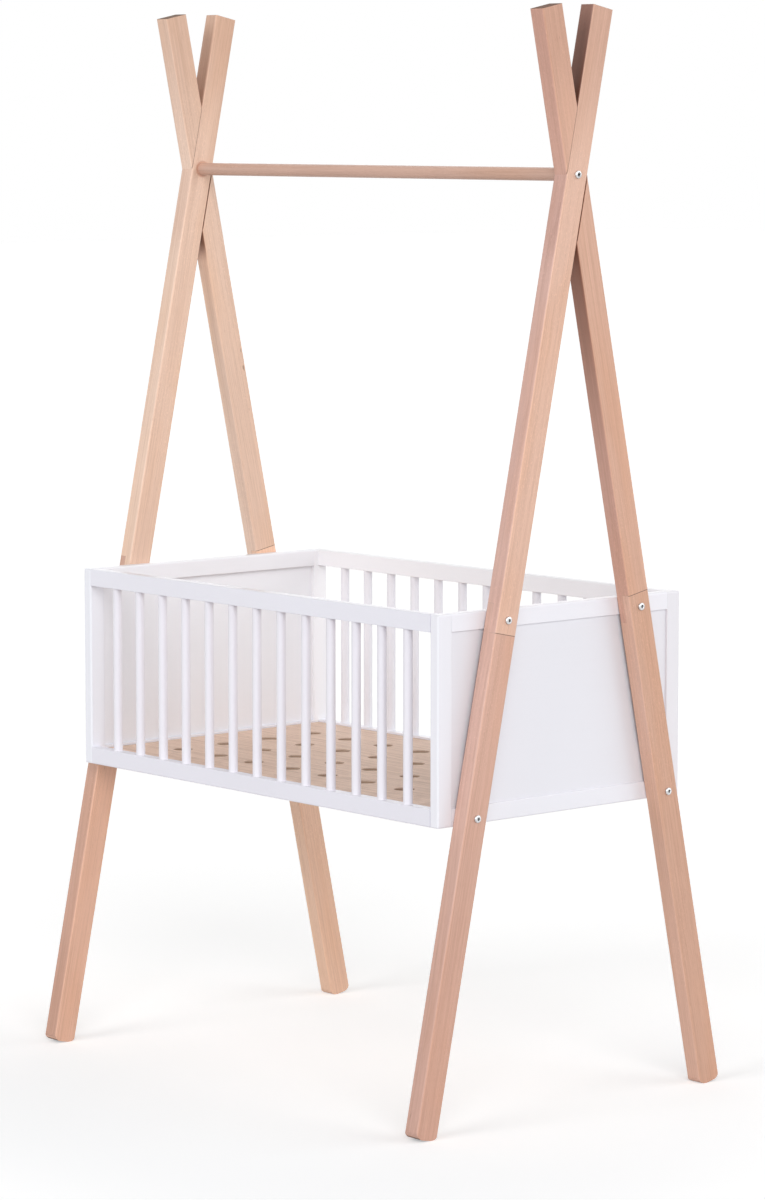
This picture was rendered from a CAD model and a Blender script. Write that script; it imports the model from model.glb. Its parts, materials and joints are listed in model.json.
"""Looks for a slatted cradle that is bolted between two beech A-frames.

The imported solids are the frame. The spindles and the bolts are turned again here with finer
shapes, the base board gets eased holes, and every piece gets a finish of its own: beech whose
grain follows each leaning pole, satin white lacquer, sanded plywood, planed pine, zinc and steel.
All lengths are in metres and all angles in radians unless a name says otherwise.
"""

from __future__ import annotations

import json
import logging
import math
from dataclasses import dataclass, field
from enum import Enum
from typing import Any, Iterable, Mapping, Sequence, Union

import bmesh
import bpy
from mathutils import Euler, Matrix, Vector

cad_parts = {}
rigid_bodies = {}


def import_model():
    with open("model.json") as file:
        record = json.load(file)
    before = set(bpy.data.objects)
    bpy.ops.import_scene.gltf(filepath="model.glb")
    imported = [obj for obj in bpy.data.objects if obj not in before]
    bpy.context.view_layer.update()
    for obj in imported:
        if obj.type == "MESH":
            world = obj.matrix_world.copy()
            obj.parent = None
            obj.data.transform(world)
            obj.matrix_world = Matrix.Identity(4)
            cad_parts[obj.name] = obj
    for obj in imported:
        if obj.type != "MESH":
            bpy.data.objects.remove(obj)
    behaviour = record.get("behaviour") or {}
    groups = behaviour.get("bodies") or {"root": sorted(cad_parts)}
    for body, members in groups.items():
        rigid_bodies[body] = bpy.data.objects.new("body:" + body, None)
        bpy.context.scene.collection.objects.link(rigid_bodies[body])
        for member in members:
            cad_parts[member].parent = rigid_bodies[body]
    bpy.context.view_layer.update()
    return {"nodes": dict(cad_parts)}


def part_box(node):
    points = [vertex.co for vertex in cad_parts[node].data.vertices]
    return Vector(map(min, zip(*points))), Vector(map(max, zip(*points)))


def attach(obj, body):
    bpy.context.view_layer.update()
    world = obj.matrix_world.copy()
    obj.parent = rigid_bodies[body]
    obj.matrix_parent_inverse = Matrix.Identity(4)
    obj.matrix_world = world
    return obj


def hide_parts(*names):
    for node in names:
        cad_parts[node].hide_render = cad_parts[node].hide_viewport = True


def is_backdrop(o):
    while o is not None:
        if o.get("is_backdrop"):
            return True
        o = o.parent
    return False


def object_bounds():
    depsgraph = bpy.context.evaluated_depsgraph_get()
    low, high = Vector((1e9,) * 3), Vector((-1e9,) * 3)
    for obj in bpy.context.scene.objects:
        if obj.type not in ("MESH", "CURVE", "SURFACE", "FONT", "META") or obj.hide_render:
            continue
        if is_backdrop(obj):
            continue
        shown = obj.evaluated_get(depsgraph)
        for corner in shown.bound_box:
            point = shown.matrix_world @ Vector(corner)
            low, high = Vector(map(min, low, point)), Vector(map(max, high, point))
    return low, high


log = logging.getLogger("cradle")

Colour = tuple[float, float, float]
Point = tuple[float, float, float]
Socket = bpy.types.NodeSocket
Input = Union[float, int, Sequence[float], Socket, "Value", None]

ROOT = "root"
MERGE = 1e-6
WHITE: Colour = (1.0, 1.0, 1.0)


# ------------------------------------------------------------------ shader building


class Nodes:
    """A node tree that is filled by one method, whatever the node."""

    def __init__(self, tree: bpy.types.NodeTree) -> None:
        """Empties the tree of a material or of the world."""
        self.tree = tree
        tree.nodes.clear()

    def add(
        self, kind: str, inputs: Mapping[str | int, Input] | None = None, **settings: Any,
    ) -> bpy.types.Node:
        """Adds a node, sets it up and feeds it.

        Args:
            kind: the node's type name.
            inputs: a number, colour, socket or Value for each socket named or numbered.
            settings: its properties, set before the sockets.

        Returns:
            The new node.
        """
        node = self.tree.nodes.new(kind)
        for name, setting in settings.items():
            setattr(node, name, setting)
        for key, given in (inputs or {}).items():
            source = given.socket if isinstance(given, Value) else given
            if isinstance(source, bpy.types.NodeSocket):
                self.tree.links.new(source, node.inputs[key])
            elif node.inputs[key].type == "RGBA":
                node.inputs[key].default_value = (*source, 1.0)
            elif source is not None:
                node.inputs[key].default_value = source
        return node

    def value(
        self, kind: str, inputs: Mapping[str | int, Input], output: int = 0, **settings: Any,
    ) -> Value:
        """Adds a node, and gives one of its outputs as a Value that is ready for arithmetic."""
        return Value(self, self.add(kind, inputs, **settings).outputs[output])

    def place(self) -> Socket:
        """Adds the object's own coordinates, in metres."""
        return self.add("ShaderNodeTexCoord").outputs["Object"]

    def axes(self, vector: Input) -> list[Value]:
        """Splits a vector into its numbers along X, Y and Z."""
        split = self.add("ShaderNodeSeparateXYZ", {0: vector})
        return [Value(self, output) for output in split.outputs]

    def surface(
        self, height: Input, strength: float, distance: float, inputs: Mapping[str, Input],
    ) -> None:
        """Adds a material's relief, its Principled surface and its output.

        Args:
            height: the relief.
            strength: how strongly it shows.
            distance: how high a relief of 1 stands.
            inputs: what the other sockets of the surface get.
        """
        relief = {"Strength": strength, "Distance": distance, "Height": height}
        normal = self.add("ShaderNodeBump", relief).outputs[0]
        shown = self.add("ShaderNodeBsdfPrincipled", {**inputs, "Normal": normal})
        self.add("ShaderNodeOutputMaterial", {"Surface": shown.outputs[0]})

    def blend(self, low: Input, high: Input, share: Input) -> Socket:
        """Mixes two colours: only the low one at a share of 0, only the high one at 1."""
        mix = self.add("ShaderNodeMix", {0: share, 6: low, 7: high}, data_type="RGBA")
        return mix.outputs[2]

    def tint(self, colour: Input, by: Colour, share: Input) -> Socket:
        """Multiplies a colour by another one, as far as the share says."""
        pair = {0: share, 6: colour, 7: by}
        return self.add("ShaderNodeMix", pair, data_type="RGBA", blend_type="MULTIPLY").outputs[2]

    def noise(self, vector: Input, stretch: Point, detail: float, shift: float = 0.0) -> Value:
        """Adds a noise that is stretched along the axes.

        Args:
            vector: the coordinates it reads, in metres.
            stretch: how many times it repeats in a metre, along each axis.
            detail: how many finer layers it has.
            shift: where in the noise this piece lies, so that no two pieces match.

        Returns:
            The noise, about 0.5 on average.
        """
        moved = {"Vector": vector, "Location": (shift, shift * 0.7, shift * 1.3), "Scale": stretch}
        scaled = self.add("ShaderNodeMapping", moved).outputs[0]
        look = {"Vector": scaled, "Scale": 1.0, "Detail": detail, "Roughness": 0.55}
        return self.value("ShaderNodeTexNoise", look)


class Value:
    """A number worked out at each point of a surface, which takes part in arithmetic."""

    def __init__(self, nodes: Nodes, socket: Socket) -> None:
        """Wraps the output of a node in a tree."""
        self.nodes = nodes
        self.socket = socket

    def _maths(self, operation: str, other: Input = None, turned: bool = False) -> Value:
        """Adds a Math node, which takes the other number first where it is turned."""
        pair = {0: other, 1: self} if turned else {0: self, 1: other}
        return self.nodes.value("ShaderNodeMath", pair, operation=operation)

    def __add__(self, other: Input) -> Value:
        """Adds a number or a Value."""
        return self._maths("ADD", other)

    __radd__ = __add__

    def __sub__(self, other: Input) -> Value:
        """Takes a number or a Value away."""
        return self._maths("SUBTRACT", other)

    def __rsub__(self, other: Input) -> Value:
        """Is taken away from a number."""
        return self._maths("SUBTRACT", other, turned=True)

    def __mul__(self, other: Input) -> Value:
        """Multiplies by a number or a Value."""
        return self._maths("MULTIPLY", other)

    __rmul__ = __mul__

    def __truediv__(self, other: Input) -> Value:
        """Divides by a number or a Value."""
        return self._maths("DIVIDE", other)

    def __pow__(self, other: Input) -> Value:
        """Raises to a power."""
        return self._maths("POWER", other)

    def __abs__(self) -> Value:
        """Drops the sign."""
        return self._maths("ABSOLUTE")

    def fraction(self) -> Value:
        """Keeps what is after the decimal point."""
        return self._maths("FRACT")

    def root(self) -> Value:
        """Takes the square root."""
        return self._maths("SQRT")

    def most(self, other: Input) -> Value:
        """Keeps the larger of the two."""
        return self._maths("MAXIMUM", other)

    def ease(self, start: float, end: float) -> Value:
        """Rises smoothly from 0 at start to 1 at end, or falls where end is the lower.

        Args:
            start: where the result is 0.
            end: where the result is 1.

        Returns:
            The eased number.
        """
        low, high = min(start, end), max(start, end)
        span = {"Value": self, "From Min": low, "From Max": high, "To Min": 0.0, "To Max": 1.0}
        eased = self.nodes.value("ShaderNodeMapRange", span, interpolation_type="SMOOTHSTEP")
        return eased if start <= end else 1 - eased


# ------------------------------------------------------------------ finishes


def blank(name: str) -> tuple[bpy.types.Material, Nodes]:
    """Starts a material.

    Args:
        name: what it is called.

    Returns:
        The material and its empty tree.
    """
    made = bpy.data.materials.new(name)
    made.use_nodes = True
    return made, Nodes(made.node_tree)


def shade(colour: Colour, by: float) -> Colour:
    """Makes a colour lighter or darker."""
    return tuple(min(1.0, channel * by) for channel in colour)


class Finish:
    """What a piece is finished in."""

    def material(self, name: str) -> bpy.types.Material:
        """Makes a material of this finish.

        Args:
            name: what it is called.

        Returns:
            The finished material.
        """
        made, nodes = blank(name)
        self.paint(nodes)
        return made

    def paint(self, nodes: Nodes) -> None:
        """Fills the tree of a material, which each finish does in its own way.

        Args:
            nodes: the empty tree.
        """
        raise NotImplementedError


class Grain(Enum):
    """Which way the fibres of a piece run, as the turn that brings them upright."""

    ALONG_X = (0.0, -math.pi / 2, 0.0)
    ALONG_Y = (math.pi / 2, 0.0, 0.0)
    ALONG_Z = (0.0, 0.0, 0.0)


@dataclass(frozen=True)
class Lie:
    """How a pattern lies in a piece: the point it starts from and the turn that rights it."""

    centre: Point = (0.0, 0.0, 0.0)
    turn: Point = (0.0, 0.0, 0.0)

    def coordinates(self, nodes: Nodes) -> Socket:
        """Adds the piece's own coordinates, in metres, with the fibres upright."""
        back = Euler(self.turn).to_matrix() @ Vector(self.centre)
        moved = {"Vector": nodes.place(), "Location": tuple(-back), "Rotation": self.turn}
        return nodes.add("ShaderNodeMapping", moved).outputs[0]

    def facing(self, nodes: Nodes, way: Point) -> Value:
        """Tells how squarely a face looks along a direction of the upright piece.

        Args:
            nodes: the tree to add to.
            way: the direction, as it is when the piece is upright.

        Returns:
            1 on a face that looks that way, 0 on one along it and -1 on its back.
        """
        turned = Euler(self.turn).to_matrix().inverted() @ Vector(way)
        normal = nodes.add("ShaderNodeNewGeometry").outputs["True Normal"]
        pair = {0: normal, 1: tuple(turned)}
        return nodes.value("ShaderNodeVectorMath", pair, output=1, operation="DOT_PRODUCT")


@dataclass(frozen=True)
class Spot:
    """A point on the skin of an upright pole.

    Attributes:
        x: its distance from the pole's middle plane.
        y: its distance from the pole's axis, across the cradle.
        z: its distance along the pole, from the crossing.
        broad: how squarely its face looks along X.
        across: how squarely its face looks along Y.
    """

    x: Value
    y: Value
    z: Value
    broad: Value
    across: Value


@dataclass(frozen=True)
class Crook:
    """How far the shade in the fork of two crossed poles goes along them.

    It is painted on the wood, and stands in part for shadow.

    Attributes:
        shade: what the colour is multiplied by, deep in the fork.
        reach: how far from the crossing it ends.
        way: 1 above the crossing and -1 below it.
        deep: the share of that reach over which the shade is full.
    """

    shade: Colour
    reach: float
    way: float
    deep: float = 0.2

    def mask(self, spot: Spot) -> Value:
        """Marks the faces that look at the other pole, close to the crossing.

        Args:
            spot: the point to mark.

        Returns:
            1 deep in the fork and 0 away from it.
        """
        inner = (spot.across * spot.z).ease(0.0, -0.02) * abs(spot.across).ease(0.6, 0.9)
        along = spot.z * self.way
        return inner * along.ease(0.0, 0.02) * along.ease(self.reach, self.reach * self.deep)


@dataclass(frozen=True)
class Joint:
    """Where two halved pieces meet, in the coordinates of an upright pole at the crossing.

    Attributes:
        lap_top: the upper end of the lap with the leg.
        lap_bottom: its lower end.
        half_width: half the width of a pole.
        lean: the lean of a pole.
        above: the shade in the fork above the crossing.
        below: the shade in the fork below it.
        inward: the way to the box along X of the upright pole, 1 or -1.
        worn: how much its ends have darkened, from 0 to 1.
        line: half the width of the dark line in a seam.
        soft: the length over which a seam ends.
        arris: how far below the lap the dark edge next to the end frame goes.
    """

    lap_top: float
    lap_bottom: float
    half_width: float
    lean: float
    above: Crook
    below: Crook
    inward: float
    worn: float
    line: float = 0.0008
    soft: float = 0.0004
    arris: float = 0.20

    def seams(self, spot: Spot) -> Value:
        """Marks the hairlines where the pieces meet.

        Args:
            spot: the point to mark.

        Returns:
            1 in a seam and 0 away from it.
        """
        x, y, z = spot.x, spot.y, spot.z
        cut_side = x.ease(0.0006, -0.0006)
        whole_side = 1 - cut_side
        middle = self.near(x) * 0.30
        outer = abs(x).ease(0.0125, 0.0150)
        below_top = z.ease(self.lap_top + self.soft, self.lap_top)
        in_lap = z.ease(self.lap_bottom - self.soft, self.lap_bottom) * below_top
        partner = y * math.cos(2 * self.lean) + z * math.sin(2 * self.lean)
        from_edge = abs(partner) - self.half_width
        in_cross = from_edge.ease(self.soft, 0.0)
        shoulders = self.near(z - self.lap_top) * cut_side
        shoulders = shoulders + self.near(z - self.lap_bottom) * whole_side
        near_cross = abs(z).ease(0.16, 0.15)
        open_side = 0.2 + partner.ease(-0.010, 0.010) * 0.8
        cross = (self.near(from_edge) * cut_side * outer * open_side + middle * in_cross) * near_cross
        return (shoulders * (outer * 0.75 + 0.25) + middle * in_lap + cross).ease(0.0, 1.0)

    def about_crossing(self, spot: Spot) -> Value:
        """Marks the narrow faces just below the crossing."""
        below = spot.z.ease(0.01, -0.01) * spot.z.ease(-0.17, -0.10)
        return abs(spot.across).ease(0.6, 0.9) * below

    def back_arris(self, spot: Spot) -> Value:
        """Marks the rounded edges next to the end frame, which look dark along the gap.

        Args:
            spot: the point to mark.

        Returns:
            1 on those edges, from the lap down, and 0 elsewhere.
        """
        foot = self.lap_bottom - self.arris
        beside = spot.z.ease(foot - 0.02, foot) * spot.z.ease(self.lap_top, self.lap_bottom)
        return (spot.x * self.inward).ease(0.0126, 0.0142) * abs(spot.across).ease(0.05, 0.30) * beside

    def rail_mark(self, spot: Spot) -> Value:
        """Marks the ring that the round rail's shoulder leaves on the inner face of a whole pole."""
        away = (spot.y * spot.y + spot.z * spot.z).root()
        return (spot.broad * self.inward).ease(0.60, 0.90) * away.ease(0.0165, 0.0130)

    def ends(self, z: Value) -> Value:
        """Is 1 at both ends of a whole pole, where its finish has darkened, and 0 along its middle."""
        return z.ease(-0.02, 0.25).most(z.ease(-0.80, -1.50) * 0.6) * self.worn

    def near(self, distance: Value) -> Value:
        """Is 1 at a distance of 0 and falls to 0 over the width of a line."""
        return abs(distance).ease(self.line, self.line * 0.35)


# What the colour of beech is multiplied by, where each of these shows.
WARM: Colour = (1.00, 0.955, 0.90)
WORN_ENDS: Colour = (0.83, 0.77, 0.74)
HANDLED: Colour = (0.91, 0.87, 0.86)
DARK_ARRIS: Colour = (0.30, 0.21, 0.18)
RAIL_MARK: Colour = (0.80, 0.66, 0.61)
ROUNDED: Colour = (1.06, 1.06, 1.06)


@dataclass(frozen=True)
class Timber(Finish):
    """Sawn wood: growth rings round a pith, so that faces show streaks and ends show arcs.

    Attributes:
        pale: the colour of the early wood.
        dark: the colour of the late wood.
        fleck: the colour of the rays and pores.
        lie: how the fibres lie in the piece.
        pith: where the middle of the tree was, seen along the fibres.
        ring: the width of a growth ring.
        figure: how much the rings show, from 0 to 1.
        fleck_share: how much the flecks show, from 0 to 1.
        gloss_roughness: the roughness of the finished face.
        sealed: the weight of a clear coat.
        shift: the piece's own place in the noise.
        narrow: what the narrow faces' colour is multiplied by.
        joint: the halved joints that it takes part in.
    """

    pale: Colour
    dark: Colour
    fleck: Colour
    lie: Lie = Lie()
    pith: tuple[float, float] = (0.06, 0.11)
    ring: float = 0.0035
    figure: float = 0.5
    fleck_share: float = 0.5
    gloss_roughness: float = 0.48
    sealed: float = 0.12
    shift: float = 0.0
    narrow: Colour = WHITE
    joint: Joint | None = None

    def paint(self, nodes: Nodes) -> None:
        """Paints the figure, the flecks and the ends of the wood, and its joints where it has them."""
        vector = self.lie.coordinates(nodes)
        x, y, z = nodes.axes(vector)

        def grain(across: float, along: float, detail: float, shift: float) -> Value:
            """Adds a noise that repeats so often in a metre across the fibres and along them."""
            return nodes.noise(vector, (across, across, along), detail, self.shift + shift)

        sway = grain(7.0, 1.6, 2.0, 3.1) - 0.5
        wobble = grain(60.0, 4.0, 2.0, 8.7) - 0.5
        across = x - self.pith[0] + sway * 0.030
        deep = y - self.pith[1] + sway * 0.022
        radius = (across * across + deep * deep).root() + wobble * 0.0016
        turns = (radius / self.ring).fraction()
        late = turns ** 2.4 * turns.ease(1.0, 0.9)
        fade = grain(14.0, 2.2, 1.0, 1.9).ease(0.30, 0.68)
        rings = late * (0.35 + fade * 0.65) * self.figure

        strands = grain(270.0, 4.0, 4.0, 0.0)
        hairs = grain(1100.0, 16.0, 2.0, 5.5)
        pores = grain(1500.0, 75.0, 1.0, 2.2).ease(0.58, 0.74)
        knots = grain(150.0, 38.0, 1.0, 9.4).ease(0.80, 0.86)
        patch = grain(12.0, 3.0, 1.0, 14.8).ease(0.42, 0.62)
        rays = grain(620.0, 230.0, 1.0, 8.2).ease(0.55, 0.75) * patch
        cloud = grain(11.0, 2.4, 3.0, 6.6)
        warmth = grain(17.0, 3.4, 2.0, 12.3)

        wood = nodes.blend(self.pale, self.dark, rings)
        wood = nodes.blend(wood, self.dark, strands.ease(0.38, 0.72) * (0.62 * self.figure + 0.12))
        lighter = shade(self.pale, 1.16)
        wood = nodes.blend(wood, lighter, hairs.ease(0.52, 0.76) * 0.55)
        wood = nodes.blend(wood, lighter, cloud.ease(0.45, 0.75) * 0.40)
        wood = nodes.blend(wood, shade(self.pale, 1.2), rays * self.fleck_share)
        wood = nodes.tint(wood, WARM, warmth.ease(0.42, 0.72))
        wood = nodes.blend(wood, self.fleck, pores * (0.45 * self.fleck_share))
        wood = nodes.blend(wood, shade(self.fleck, 0.7), knots * (1.3 * self.fleck_share))
        broad, narrow, end = (self.lie.facing(nodes, way) for way in Matrix.Identity(3))
        wood = nodes.tint(wood, self.narrow, abs(narrow).ease(0.70, 0.85))
        rounded = abs(broad).ease(0.3, 0.5) * abs(narrow).ease(0.3, 0.5)
        wood = nodes.tint(wood, ROUNDED, rounded)
        end_face = abs(end).ease(0.72, 0.90)
        wood = nodes.blend(wood, shade(self.dark, 0.30), end_face * 0.92)
        height = hairs * 0.35 + strands * 0.45 - pores * 0.7 - rings * 0.4
        if self.joint is not None:
            spot = Spot(x, y, z, broad, narrow)
            wood = nodes.tint(wood, WORN_ENDS, self.joint.ends(z))
            wood = nodes.tint(wood, HANDLED, self.joint.about_crossing(spot))
            for crook in (self.joint.above, self.joint.below):
                wood = nodes.tint(wood, crook.shade, crook.mask(spot))
            wood = nodes.tint(wood, DARK_ARRIS, self.joint.back_arris(spot))
            wood = nodes.tint(wood, RAIL_MARK, self.joint.rail_mark(spot))
            seam = self.joint.seams(spot)
            wood = nodes.blend(wood, shade(self.fleck, 0.26), seam * 0.85)
            height = height - seam * 3.0

        uneven = (strands - 0.5) * 0.16 + pores * 0.08 + end_face * 0.45
        nodes.surface(height, 0.35, 0.00016, {
            "Base Color": wood,
            "Roughness": uneven + self.gloss_roughness,
            "Coat Weight": (1 - end_face) * self.sealed,
            "Coat Roughness": 0.32,
        })


@dataclass(frozen=True)
class Lacquer(Finish):
    """Sprayed satin lacquer over wood: a faint spray texture and the fibres just telegraphing.

    Attributes:
        body: the colour of the film.
        thin: the colour where it lies a little thinner.
        lie: how the fibres lie below it.
        gloss_roughness: the roughness of the film.
        shift: the piece's own place in the noise.
    """

    body: Colour
    thin: Colour
    lie: Lie = Lie()
    gloss_roughness: float = 0.36
    shift: float = 0.0

    def paint(self, nodes: Nodes) -> None:
        """Paints the film, and the fibres below it."""
        vector = self.lie.coordinates(nodes)
        peel = nodes.noise(vector, (420.0, 420.0, 420.0), 2.0, self.shift)
        below = nodes.noise(vector, (300.0, 300.0, 9.0), 3.0, self.shift + 4.4)
        drift = nodes.noise(vector, (6.0, 6.0, 3.0), 2.0, self.shift + 7.3)
        dust = nodes.noise(vector, (1300.0, 1300.0, 1300.0), 0.0, self.shift + 2.8).ease(0.79, 0.84)
        share = drift.ease(0.35, 0.8) * 0.5 + below.ease(0.5, 0.8) * 0.22
        nodes.surface(peel * 0.5 + below * 0.6 + dust * 0.8, 0.22, 0.00010, {
            "Base Color": nodes.blend(self.body, self.thin, share),
            "Roughness": self.gloss_roughness + (peel - 0.5) * 0.10 + (drift - 0.5) * 0.10,
            "Coat Weight": 0.15,
            "Coat Roughness": 0.22,
        })


@dataclass(frozen=True)
class Plywood(Finish):
    """Sanded plywood: a veneer face with long dark streaks, and plies across its edges.

    Attributes:
        face: the colour of the veneer.
        streak: the colour of its late wood.
        ply_dark: the colour of the cross plies on an edge.
        underside: the height of the board's lower face.
        ply: the thickness of a ply.
        roughness: the roughness of the sanded face.
    """

    face: Colour
    streak: Colour
    ply_dark: Colour
    underside: float
    ply: float = 0.002
    roughness: float = 0.58

    def paint(self, nodes: Nodes) -> None:
        """Paints the veneer, and the plies on the edges."""
        place = nodes.place()
        height = nodes.axes(place)[2] - self.underside
        normal = nodes.add("ShaderNodeNewGeometry").outputs["True Normal"]
        edge = abs(nodes.axes(normal)[2]).ease(0.75, 0.45)

        waves = nodes.noise(place, (1.3, 26.0, 4.0), 2.0, 4.0)
        lines = nodes.noise(place, (2.0, 240.0, 40.0), 3.0, 1.0)
        fine = nodes.noise(place, (22.0, 1300.0, 300.0), 2.0, 9.0)
        pores = nodes.noise(place, (60.0, 900.0, 300.0), 1.0, 2.0).ease(0.62, 0.72)
        bands = (waves * 9.0 + lines * 0.8).fraction()
        late = bands ** 2.0 * bands.ease(1.0, 0.86)
        veneer = nodes.blend(self.face, self.streak, late * 0.60 + lines.ease(0.45, 0.8) * 0.35)
        veneer = nodes.blend(veneer, shade(self.streak, 0.62), pores * 0.4)

        layer = (height / (2 * self.ply)).fraction()
        cross = layer.ease(0.46, 0.54)
        glue = abs(layer - 0.5).ease(0.05, 0.01)
        wall = shade(self.face, 0.62)
        plies = nodes.blend(wall, self.ply_dark, cross * 0.8 + fine.ease(0.4, 0.7) * 0.2)
        plies = nodes.blend(plies, shade(self.ply_dark, 0.45), glue * 0.7)

        nodes.surface(fine * 0.5 - pores * 0.6 - late * 0.3, 0.4, 0.0002, {
            "Base Color": nodes.blend(veneer, plies, edge),
            "Roughness": self.roughness + (fine - 0.5) * 0.2 + edge * 0.12,
        })


@dataclass(frozen=True)
class Plate(Finish):
    """Metal with a thin plated skin, a little uneven, with fine turning marks.

    Attributes:
        bright: the colour of the clean skin.
        dull: the colour where it has clouded.
        gloss_roughness: the roughness of the clean skin.
    """

    bright: Colour
    dull: Colour
    gloss_roughness: float = 0.26

    def paint(self, nodes: Nodes) -> None:
        """Paints the skin, with its clouds and marks."""
        place = nodes.place()
        cloud = nodes.noise(place, (380.0, 380.0, 380.0), 3.0, 1.7).ease(0.35, 0.7)
        marks = nodes.noise(place, (4200.0, 900.0, 900.0), 1.0, 5.2)
        nodes.surface(marks, 0.25, 0.00004, {
            "Base Color": nodes.blend(self.bright, self.dull, cloud),
            "Metallic": 1.0,
            "Roughness": self.gloss_roughness + cloud * 0.16,
        })


# ------------------------------------------------------------------ making pieces


def mesh_of(name: str, bm: bmesh.types.BMesh) -> bpy.types.Mesh:
    """Makes a mesh of a bmesh, which is freed."""
    mesh = bpy.data.meshes.new(name)
    bm.to_mesh(mesh)
    bm.free()
    return mesh


def put(name: str, data: bpy.types.ID) -> bpy.types.Object:
    """Puts a mesh, a lamp or a camera in the scene."""
    made = bpy.data.objects.new(name, data)
    bpy.context.scene.collection.objects.link(made)
    return made


@dataclass
class Bench:
    """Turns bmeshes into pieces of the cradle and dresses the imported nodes."""

    nodes: Mapping[str, bpy.types.Object]
    finished: list[str] = field(default_factory=list)

    def dress(self, names: Iterable[str], finish: bpy.types.Material) -> None:
        """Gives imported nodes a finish.

        Args:
            names: the nodes.
            finish: the material they get.
        """
        for name in names:
            for material_slot in self.nodes[name].material_slots:
                material_slot.material = finish
            self.finished.append(name)
            log.info("%s finished in %s", name, finish.name)

    def piece(
        self, name: str, bm: bmesh.types.BMesh, finishes: Sequence[bpy.types.Material],
        stands_for: Sequence[str], takes: str, sharp_deg: float = 32.0,
    ) -> bpy.types.Object:
        """Makes an object of a bmesh, in place, and puts it in the frame.

        Args:
            name: the piece's name.
            bm: its shape, which is freed.
            finishes: its materials, in the order that its faces number them.
            stands_for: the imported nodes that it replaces.
            takes: the record's material slot.
            sharp_deg: the angle past which an edge stays sharp.

        Returns:
            The new object.
        """
        bmesh.ops.remove_doubles(bm, verts=bm.verts, dist=MERGE)
        bmesh.ops.recalc_face_normals(bm, faces=bm.faces)
        mesh = mesh_of(name, bm)
        mesh.polygons.foreach_set("use_smooth", [True] * len(mesh.polygons))
        mesh.set_sharp_from_angle(angle=math.radians(sharp_deg))
        for finish in finishes:
            mesh.materials.append(finish)
        made = put(name, mesh)
        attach(made, ROOT)
        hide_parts(*stands_for)
        self.finished.append(name)
        log.info("%s made, %d faces, for %s", name, len(mesh.polygons), ", ".join(stands_for))
        return made


def lathe(profile: Sequence[tuple[float, float]], steps: int) -> bmesh.types.BMesh:
    """Turns a profile about the Z axis.

    Args:
        profile: radius and height of each point, from one end on the axis to the other.
        steps: how many facets go round.

    Returns:
        The turned shape.
    """
    bm = bmesh.new()
    line = [bm.verts.new((radius, 0.0, height)) for radius, height in profile]
    rim = [bm.edges.new(pair) for pair in zip(line, line[1:])]
    bmesh.ops.spin(
        bm, geom=line + rim, cent=(0, 0, 0), axis=(0, 0, 1), dvec=(0, 0, 0),
        angle=2 * math.pi, steps=steps, use_merge=True, use_duplicate=False,
    )
    bmesh.ops.remove_doubles(bm, verts=bm.verts, dist=MERGE)
    return bm


@dataclass
class Spindle:
    """One round spindle with eased shoulders, and the bead of lacquer at each of its ends.

    Attributes:
        middle: where its axis stands.
        foot: the height of its lower shoulder.
        head: the height of its upper shoulder.
        radius: its radius between the rails.
        tenon_radius: the radius of its tenons.
        tenon: their length.
        bead: how far the bead stands out.
        steps: how many parts its length is cut in.
        facets: how many go round it.
    """

    middle: Point
    foot: float
    head: float
    radius: float
    tenon_radius: float = 0.005
    tenon: float = 0.012
    bead: float = 0.0007
    steps: int = 6
    facets: int = 40

    @classmethod
    def measured(cls, node: str) -> Spindle:
        """Takes a spindle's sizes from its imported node, whose box includes the tenons.

        Args:
            node: the node.

        Returns:
            The spindle.
        """
        low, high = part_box(node)
        centre = ((low[0] + high[0]) / 2, (low[1] + high[1]) / 2, 0.0)
        return cls(centre, low[2] + cls.tenon, high[2] - cls.tenon, (high[0] - low[0]) / 2)

    def shape(self) -> bmesh.types.BMesh:
        """Turns the spindle in its place.

        Returns:
            The shape, which stands on the cradle's bottom rail.
        """
        foot, head, rim, bead = self.foot, self.head, self.radius, self.bead
        end = [(0.0, -self.tenon), (self.tenon_radius, -self.tenon), (self.tenon_radius, 0.0)]
        end += [(rim + bead, 0.0), (rim + bead * 0.35, bead * 0.5), (rim, bead * 1.6)]
        profile = [(radius, foot + past) for radius, past in end]
        profile += [(rim, foot + (head - foot) * i / self.steps) for i in range(1, self.steps)]
        profile += [(radius, head - past) for radius, past in reversed(end)]
        bm = lathe(profile, self.facets)
        bmesh.ops.translate(bm, verts=bm.verts, vec=self.middle)
        return bm


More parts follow.
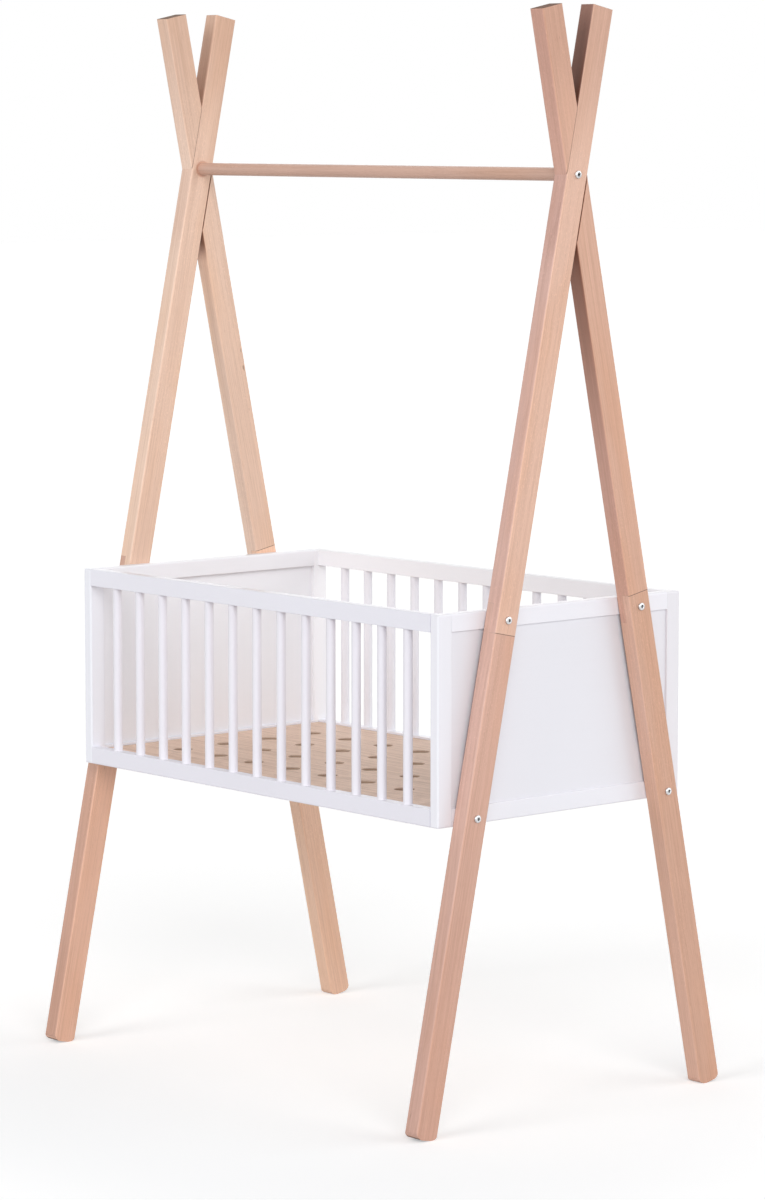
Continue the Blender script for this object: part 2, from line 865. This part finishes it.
@dataclass
class Bolt:
    """A socket-head bolt along X, whose low round head stands on a wooden face.

    Attributes:
        length: how far its shank goes in.
        head_radius: the radius of its head.
        head_height: how far the head stands out.
        shank_radius: the radius of its shank.
        socket_radius: the distance to the corners of its socket.
        socket_depth: how deep the socket is.
        facets: how many edges a loop round it has.
    """

    length: float
    head_radius: float
    head_height: float
    shank_radius: float = 0.003
    socket_radius: float = 0.002887
    socket_depth: float = 0.0025
    facets: int = 48

    def shape(self) -> bmesh.types.BMesh:
        """Lofts the bolt from loop to loop, pointing along X from its seat at the origin.

        Returns:
            The shape of one bolt, its head on the +X side.
        """
        bm = bmesh.new()
        top, rim = self.head_height, self.head_radius
        shank, socket = self.shank_radius, self.socket_radius
        circles = [
            (shank * 0.80, -self.length), (shank, -self.length + 0.0008), (shank, 0.0),
            (rim - 0.0002, 0.0), (rim, 0.0002), (rim, top - 0.0019), (rim - 0.00022, top - 0.0011),
            (rim - 0.0008, top - 0.00045), (rim - 0.0017, top - 0.0001), (rim - 0.0027, top),
        ]
        hexagons = [(socket * 1.12, top), (socket, top - 0.00035), (socket, top - self.socket_depth)]
        loops = [self._loop(bm, self.facets, *place) for place in circles]
        loops += [self._loop(bm, 6, *place) for place in hexagons]
        for lower, upper in zip(loops, loops[1:-1]):
            bmesh.ops.bridge_loops(bm, edges=lower + upper)
        bmesh.ops.edgeloop_fill(bm, edges=loops[0])
        inside = bmesh.ops.bridge_loops(bm, edges=loops[-2] + loops[-1])["faces"]
        inside += bmesh.ops.edgeloop_fill(bm, edges=loops[-1])["faces"]
        for face in inside:
            face.material_index = 1
        bmesh.ops.rotate(bm, verts=bm.verts, cent=(0, 0, 0), matrix=Matrix.Rotation(math.pi / 2, 3, "Y"))
        return bm

    def _loop(
        self, bm: bmesh.types.BMesh, corners: int, radius: float, height: float,
    ) -> list[bmesh.types.BMEdge]:
        """Adds a loop, whose sides are cut until it has as many edges as the others.

        Args:
            bm: the bolt so far.
            corners: how many corners it has.
            radius: the distance to its corners.
            height: its place along the bolt.

        Returns:
            Its edges.
        """
        before = set(bm.edges)
        bmesh.ops.create_circle(
            bm, cap_ends=False, radius=radius, segments=corners,
            matrix=Matrix.Translation((0, 0, height)),
        )
        if corners < self.facets:
            sides = [edge for edge in bm.edges if edge not in before]
            bmesh.ops.subdivide_edges(bm, edges=sides, cuts=self.facets // corners - 1)
        return [edge for edge in bm.edges if edge not in before]


# ------------------------------------------------------------------ sub-assemblies


class End(Enum):
    """The two ends of the cradle, as the sign of X."""

    RIGHT = 1
    LEFT = -1


class Side(Enum):
    """The two sides of the cradle, as the sign of Y."""

    FRONT = -1
    REAR = 1


def middle(node: str) -> Vector:
    """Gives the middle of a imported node's box."""
    low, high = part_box(node)
    return (Vector(low) + Vector(high)) / 2


@dataclass
class SubAssembly:
    """Some pieces that belong together.

    Attributes:
        bench: where they are made and finished.
    """

    bench: Bench


@dataclass(frozen=True)
class Tone:
    """The shade of one piece, as a share of its common colour.

    Attributes:
        broad: the share of each channel.
        narrow: what the narrow faces are multiplied by besides.
    """

    broad: Colour = WHITE
    narrow: Colour = WHITE

    def of(self, colour: Colour) -> Colour:
        """Shades a colour."""
        return tuple(min(1.0, share * channel) for share, channel in zip(self.broad, colour))


WHITE_BODY: Colour = (0.868, 0.866, 0.925)
WHITE_THIN: Colour = (0.842, 0.838, 0.890)
BEECH_PALE: Colour = (0.800, 0.515, 0.405)
BEECH_DARK: Colour = (0.610, 0.365, 0.270)
BEECH_FLECK: Colour = (0.450, 0.245, 0.165)


# These shades hold the real differences between the pieces, and also what the lamps get wrong.
BEECH_TONES: Mapping[str, Tone] = {
    "upper_pole_front_right": Tone((0.95, 0.94, 0.91), (0.87, 0.87, 0.97)),
    "lower_leg_front_right": Tone((0.85, 0.80, 0.79), (0.98, 1.03, 1.10)),
    "upper_pole_rear_right": Tone((0.85, 0.78, 0.72), (0.96, 0.95, 1.04)),
    "lower_leg_rear_right": Tone((0.81, 0.75, 0.69), (1.12, 1.18, 1.26)),
    "upper_pole_front_left": Tone((1.01, 1.09, 1.07), (1.02, 1.08, 1.12)),
    "lower_leg_front_left": Tone((1.04, 1.01, 0.96), (0.76, 0.74, 0.76)),
    "upper_pole_rear_left": Tone((0.97, 1.05, 1.03), (1.13, 1.19, 1.24)),
    "lower_leg_rear_left": Tone((1.12, 1.15, 1.08), (1.02, 1.06, 1.08)),
    "round_rail": Tone((0.74, 0.74, 0.74)),
}
LACQUER_TONES: Mapping[str, Tone] = {
    "right_end_panel": Tone((0.955, 0.955, 0.955)),
    "right_end_top_rail": Tone((1.03, 1.03, 1.03)),
    "right_end_rear_stile": Tone((0.97, 0.96, 0.95)),
    "front_top_rail": Tone((0.96, 0.955, 0.97)),
    "front_bottom_rail": Tone((0.94, 0.93, 0.95)),
    "front_spindles": Tone((0.95, 0.93, 0.94)),
    "rear_top_rail": Tone((1.06, 1.06, 1.03)),
    "rear_spindles": Tone((0.96, 0.96, 0.96)),
    "left_end_panel": Tone((1.03, 1.04, 1.02)),
    "left_end_top_rail": Tone((1.02, 1.02, 1.00)),
    "left_end_rear_stile": Tone((1.06, 1.06, 1.03)),
    "left_end_front_stile": Tone((0.99, 1.00, 1.00)),
}


def beech(tone: Tone, **rest: Any) -> Timber:
    """Gives beech in the shade of one piece."""
    colours = (tone.of(colour) for colour in (BEECH_PALE, BEECH_DARK, BEECH_FLECK))
    return Timber(*colours, narrow=tone.narrow, **rest)


# The shade above and below the crossing, for the poles of each end.
FORKS: Mapping[End, tuple[Crook, Crook]] = {
    End.RIGHT: (Crook((0.30, 0.19, 0.135), 0.62, 1.0), Crook((0.50, 0.385, 0.31), 0.56, -1.0)),
    End.LEFT: (Crook((0.66, 0.56, 0.52), 0.34, 1.0), Crook((0.42, 0.30, 0.25), 0.17, -1.0, 0.75)),
}


@dataclass
class AFrame(SubAssembly):
    """Two crossed poles of beech, each an upper pole lapped and bolted to its leg.

    Attributes:
        end: the end of the cradle that it stands at.
        tones: the shade of each of its pieces.
        above: the shade in the fork above its crossing.
        below: the shade in the fork below it.
        lean: the lean of a pole.
        pole_wide: the width of a pole, across the cradle.
        lap: the length of the lap between an upper pole and its leg.
        rear_worn: how much the ends of a rear pole have darkened, where those of a front one are 1.
    """

    end: End
    tones: Mapping[str, Tone]
    above: Crook
    below: Crook
    lean: float = math.radians(11.827620)
    pole_wide: float = 0.046
    lap: float = 0.048
    rear_worn: float = 0.7

    def __post_init__(self) -> None:
        """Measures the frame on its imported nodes."""
        low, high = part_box(f"upper_pole_front_{self.end.name.lower()}")
        self.middle_x = (low[0] + high[0]) / 2
        self.cross_z = middle("apex_bolts").z
        self.lap_z = middle("joint_bolts").z

    def dress(self) -> None:
        """Gives the four poles their own beech."""
        word = self.end.name.lower()
        along = -(self.cross_z - self.lap_z) / math.cos(self.lean)
        inward = -1.0 if self.end is End.RIGHT else 1.0
        for side in Side:
            front = side is Side.FRONT
            lie = self._lie(0.0 if front else math.pi)
            joint = Joint(
                lap_top=along + self.lap / 2, lap_bottom=along - self.lap / 2,
                half_width=self.pole_wide / 2, lean=self.lean, above=self.above, below=self.below,
                inward=inward if front else -inward, worn=1.0 if front else self.rear_worn,
            )
            for kind in ("upper_pole", "lower_leg"):
                name = f"{kind}_{side.name.lower()}_{word}"
                count = len(self.bench.finished)
                wood = beech(
                    self.tones.get(name, Tone()), lie=lie, joint=joint, figure=0.55, fleck_share=0.6,
                    pith=(0.02 + 0.013 * (count % 5), 0.075), shift=1.7 * count + 0.3,
                )
                self.bench.dress([name], wood.material(f"beech_{name}"))

    def _lie(self, about: float) -> Lie:
        """Rights a pole: undoes its half turn about the vertical, then its lean.

        Args:
            about: the pole's turn about the vertical.

        Returns:
            How its fibres lie.
        """
        righted = Euler((self.lean, 0.0, 0.0)).to_matrix() @ Euler((0.0, 0.0, -about)).to_matrix()
        turn = righted.to_euler("XYZ")
        return Lie((self.middle_x, 0.0, self.cross_z), tuple(turn))


@dataclass
class BoltWork(SubAssembly):
    """The ten bolts that hold the A-frames to the box and to the round rail.

    Attributes:
        rail_reach: how far a bolt reaches past the pole, into an end rail.
        round_reach: how far a bolt reaches past the pole, into the round rail.
        twist: how much further round each socket stands than the one before.
    """

    rail_reach: float = 0.012
    round_reach: float = 0.018
    twist: float = 0.5

    def build(self, finishes: Sequence[bpy.types.Material]) -> None:
        """Makes the three sets of bolts.

        Args:
            finishes: the plating, and the shaded metal down in the sockets.
        """
        reaches = {"apex": self.round_reach, "joint": self.rail_reach, "leg": self.rail_reach}
        for word, reach in reaches.items():
            self._set(word, reach, finishes)

    def _set(self, word: str, reach: float, finishes: Sequence[bpy.types.Material]) -> None:
        """Makes one set of bolts, on both ends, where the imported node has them.

        Args:
            word: where they are, which starts their name.
            reach: how far the bolts reach past the pole.
            finishes: the plating and the sockets' metal.
        """
        node = f"{word}_bolts"
        low, high = (Vector(corner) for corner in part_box(node))
        inner, seat = (corner[0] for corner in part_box("upper_pole_front_right"))
        radius, z = (high.z - low.z) / 2, (high.z + low.z) / 2
        bolt = Bolt(seat - inner + reach, radius, high.x - seat)
        count = 0
        whole = bmesh.new()
        for end in End:
            for y in sorted({round(low.y + radius, 6), round(high.y - radius, 6)}):
                count += 1
                one = bolt.shape()
                turned = Matrix.Rotation(self.twist * count, 3, "X")
                bmesh.ops.rotate(one, verts=one.verts, cent=(0, 0, 0), matrix=turned)
                if end is End.LEFT:
                    half = Matrix.Rotation(math.pi, 3, "Z")
                    bmesh.ops.rotate(one, verts=one.verts, cent=(0, 0, 0), matrix=half)
                bmesh.ops.translate(one, verts=one.verts, vec=(end.value * seat, y, z))
                spare = mesh_of("spare", one)
                whole.from_mesh(spare)
                bpy.data.meshes.remove(spare)
        self.bench.piece(f"{word}_bolt_set", whole, finishes, [node], "zinc")


@dataclass
class CradleBox(SubAssembly):
    """The lacquered box: two panelled ends and two spindle sides."""

    spindles: int = 13
    tones: Mapping[str, Tone] = field(default_factory=dict)

    def dress(self) -> None:
        """Lacquers the frames and the panels, with the fibres along each piece."""
        parts = {
            "front_stile": Grain.ALONG_Z, "rear_stile": Grain.ALONG_Z, "top_rail": Grain.ALONG_Y,
            "bottom_rail": Grain.ALONG_Y, "panel": Grain.ALONG_Y,
        }
        grains = {f"{end.name.lower()}_end_{part}": parts[part] for end in End for part in parts}
        for side in Side:
            for part in ("top_rail", "bottom_rail"):
                grains[f"{side.name.lower()}_{part}"] = Grain.ALONG_X
        for number, (node, grain) in enumerate(grains.items(), 1):
            self.bench.dress([node], self._lacquer(node, Lie(turn=grain.value), 2.3 * number))

    def _lacquer(self, word: str, lie: Lie, shift: float) -> bpy.types.Material:
        """Makes the lacquer of one piece, or of the spindles of one side.

        Args:
            word: the name of the piece or of the side's spindles.
            lie: how the fibres lie below it.
            shift: its own place in the noise.

        Returns:
            The material.
        """
        tone = self.tones.get(word, Tone())
        coat = Lacquer(tone.of(WHITE_BODY), tone.of(WHITE_THIN), lie, shift=shift)
        return coat.material(f"lacquer_{word}")

    def build_spindles(self) -> None:
        """Turns the spindles of both sides."""
        for side in Side:
            coat = self._lacquer(f"{side.name.lower()}_spindles", Lie(), 50.0)
            for number in range(1, self.spindles + 1):
                node = f"{side.name.lower()}_spindle_{number:02d}"
                turned = Spindle.measured(node).shape()
                self.bench.piece(f"turned_{node}", turned, [coat], [node], "white_lacquer", 50.0)


@dataclass
class SleepingBase(SubAssembly):
    """The perforated board, the cleats that carry it, and their screws."""

    eased: float = 0.0006

    def dress(self) -> None:
        """Finishes the board and its cleats, and eases the edges of its holes."""
        board = Plywood(
            face=(0.850, 0.625, 0.490), streak=(0.520, 0.335, 0.235),
            ply_dark=(0.300, 0.190, 0.120), underside=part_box("base_board")[0][2],
        )
        self.bench.dress(["base_board"], board.material("plywood_board"))
        shape = self.bench.nodes["base_board"]
        weld = shape.modifiers.new("join_faces", "WELD")
        weld.merge_threshold = MERGE
        ease = shape.modifiers.new("eased_edges", "BEVEL")
        ease.width = self.eased
        ease.segments = 2
        ease.limit_method = "ANGLE"
        ease.angle_limit = math.radians(60)
        cleat = Timber(
            pale=(0.610, 0.440, 0.275), dark=(0.460, 0.300, 0.160), fleck=(0.330, 0.200, 0.100),
            lie=Lie(turn=Grain.ALONG_X.value), ring=0.0028, figure=0.8, gloss_roughness=0.66,
            sealed=0.0, shift=31.0,
        )
        self.bench.dress(["front_cleat", "rear_cleat"], cleat.material("planed_pine"))
        self.bench.dress(["corner_dowels"], cleat.material("dowel_wood"))


@dataclass
class Hardware(SubAssembly):
    """Inserts and screws, which sit inside the wood."""

    def dress(self) -> list[bpy.types.Material]:
        """Plates the metal nodes.

        Returns:
            The zinc plating and the shaded zinc of a socket, for the bolts.
        """
        zinc = Plate((0.700, 0.710, 0.725), (0.520, 0.530, 0.540)).material("zinc_plate")
        steel = Plate((0.560, 0.555, 0.540), (0.400, 0.395, 0.380), 0.34).material("plain_steel")
        self.bench.dress(["cleat_screws"], zinc)
        self.bench.dress(["round_rail_inserts", "end_rail_inserts"], steel)
        return [zinc, Plate((0.330, 0.330, 0.335), (0.220, 0.218, 0.215), 0.50).material("zinc_socket")]


# ------------------------------------------------------------------ the studio


@dataclass(frozen=True)
class Lamp:
    """A very wide, far soft box, which lights the whole floor alike.

    Attributes:
        name: what it is called.
        place: the direction that it stands in, seen from the cradle.
        strength: how bright it is.
        width_deg: how wide it looks from the cradle.
    """

    name: str
    place: Point
    strength: float
    width_deg: float

    def hang(self) -> None:
        """Hangs the lamp."""
        light = bpy.data.lights.new(self.name, "SUN")
        light.energy = self.strength
        light.angle = math.radians(self.width_deg)
        hung = put(self.name, light)
        hung.location = self.place
        hung.rotation_euler = (-Vector(self.place)).to_track_quat("-Z", "Y").to_euler()


@dataclass
class Studio:
    """A white room with soft lamps, and the camera of the picture.

    Attributes:
        camera_place: where the camera stands.
        camera_turn_deg: how far it is turned about the vertical.
        camera_dip_deg: how far it looks down.
        focal_px: its focal length, in pixels of the picture.
        frame_px: the longer side of the picture.
        sensor_mm: the longer side of the sensor.
        sight: how far it sees.
        sky: how brightly the room lights the cradle.
        floor_colour: the floor's own shade.
        floor_half: half the floor's width.
        floor_lift: how much the floor glows where it is seen.
        pool_place: the middle of the dip in that glow.
        pool_shade: what is left of the glow there.
        pool_from: how far from its middle the dip starts to fade.
        pool_reach: how far it reaches.
    """

    camera_place: Point = (5.5248, -4.7757, 1.6521)
    camera_turn_deg: float = 49.051
    camera_dip_deg: float = 6.521
    focal_px: float = 4219.2
    frame_px: float = 1200.0
    sensor_mm: float = 36.0
    sight: float = 200.0
    sky: float = 0.23
    floor_colour: float = 0.84
    floor_half: float = 40.0
    floor_lift: float = 0.44
    pool_place: tuple[float, float] = (0.26, -0.23)
    pool_shade: Colour = (0.76, 0.78, 0.80)
    pool_from: float = 0.5
    pool_reach: float = 1.15

    def set_up(self) -> None:
        """Builds the room, the lamps and the camera."""
        self._room()
        self._floor()
        for lamp in self.lamps():
            lamp.hang()
        self._camera()

    @staticmethod
    def lamps() -> list[Lamp]:
        """Lists the lamps."""
        return [
            Lamp("key", (3.4, -2.3, 2.0), 1.38, 40.0),
            Lamp("front", (0.0, -3.4, 1.4), 1.05, 30.0),
            Lamp("side", (2.6, 2.6, 1.4), 1.14, 60.0),
            Lamp("back", (-3.0, 2.4, 0.4), 0.75, 70.0),
        ]

    def _room(self) -> None:
        """Makes the world white to the camera and softly lit to everything else."""
        world = bpy.data.worlds.new("white_room")
        bpy.context.scene.world = world
        world.use_nodes = True
        nodes = Nodes(world.node_tree)
        seen = self._seen(nodes)
        lit = nodes.add("ShaderNodeBackground", {"Color": WHITE, "Strength": self.sky})
        white = nodes.add("ShaderNodeBackground", {"Color": WHITE, "Strength": 1.0})
        mix = nodes.add("ShaderNodeMixShader", {0: seen, 1: lit.outputs[0], 2: white.outputs[0]})
        nodes.add("ShaderNodeOutputWorld", {"Surface": mix.outputs[0]})

    @staticmethod
    def _seen(nodes: Nodes) -> Value:
        """Is 1 for rays that show the room: those of the camera, of gloss and of glass."""
        path = nodes.add("ShaderNodeLightPath")
        camera, gloss, through = (
            Value(nodes, path.outputs[name])
            for name in ("Is Camera Ray", "Is Glossy Ray", "Is Transmission Ray")
        )
        return camera.most(gloss).most(through)

    def _floor(self) -> None:
        """Lays a wide pale floor, which keeps the cradle's soft shadow.

        It glows a little for the rays that show the room. The glow dips in a painted pool round
        the cradle.
        """
        bm = bmesh.new()
        bmesh.ops.create_grid(bm, x_segments=1, y_segments=1, size=self.floor_half)
        mesh = mesh_of("floor", bm)
        paint, nodes = blank("pale_floor")
        seen = self._seen(nodes)
        pale = shade(WHITE, self.floor_colour)
        matt = nodes.add("ShaderNodeBsdfDiffuse", {"Color": pale, "Roughness": 0.0})
        place = nodes.place()
        x, y = (far - near for far, near in zip(nodes.axes(place), self.pool_place))
        away = (x * x + y * y).root().ease(self.pool_from, self.pool_reach)
        pool = nodes.blend(self.pool_shade, WHITE, away)
        glow = nodes.add("ShaderNodeEmission", {"Color": pool, "Strength": self.floor_lift})
        dark = nodes.add("ShaderNodeEmission", {"Color": (0.0, 0.0, 0.0), "Strength": 0.0})
        lift = nodes.add("ShaderNodeMixShader", {0: seen, 1: dark.outputs[0], 2: glow.outputs[0]})
        both = nodes.add("ShaderNodeAddShader", {0: matt.outputs[0], 1: lift.outputs[0]})
        nodes.add("ShaderNodeOutputMaterial", {"Surface": both.outputs[0]})
        mesh.materials.append(paint)
        put("floor", mesh)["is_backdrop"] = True

    def _camera(self) -> None:
        """Places the camera of the picture, level, with no shift."""
        camera = bpy.data.cameras.new("camera")
        camera.sensor_fit = "AUTO"
        camera.sensor_width = self.sensor_mm
        camera.lens = self.focal_px * self.sensor_mm / self.frame_px
        camera.clip_end = self.sight
        seat = put("camera", camera)
        seat.location = self.camera_place
        tilt = math.pi / 2 - math.radians(self.camera_dip_deg)
        seat.rotation_euler = (tilt, 0.0, math.radians(self.camera_turn_deg))
        bpy.context.scene.camera = seat


# ------------------------------------------------------------------ the whole scene


def clear_scene() -> None:
    """Empties Blender's starting scene and sets its plain view."""
    for thing in list(bpy.data.objects):
        bpy.data.objects.remove(thing, do_unlink=True)
    bpy.context.scene.view_settings.view_transform = "Standard"


def corners() -> list[list[float]]:
    """Gives the shown object's box as plain lists."""
    return [[float(number) for number in corner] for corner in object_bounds()]


def main() -> None:
    """Builds the studio, dresses the frame and makes the finer pieces."""
    logging.basicConfig(level=logging.INFO, format="%(name)s: %(message)s")
    clear_scene()
    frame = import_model()
    Studio().set_up()
    bench = Bench(frame["nodes"])

    for end in End:
        AFrame(bench, end, BEECH_TONES, *FORKS[end]).dress()
    rail = beech(
        BEECH_TONES["round_rail"], lie=Lie(tuple(middle("round_rail")), Grain.ALONG_X.value),
        pith=(0.03, 0.05), shift=21.0,
    )
    bench.dress(["round_rail"], rail.material("beech_round_rail"))

    box = CradleBox(bench, tones=LACQUER_TONES)
    box.dress()
    box.build_spindles()
    SleepingBase(bench).dress()
    BoltWork(bench).build(Hardware(bench).dress())

    log.info("%d pieces finished", len(bench.finished))


if __name__ == "__main__":
    main()
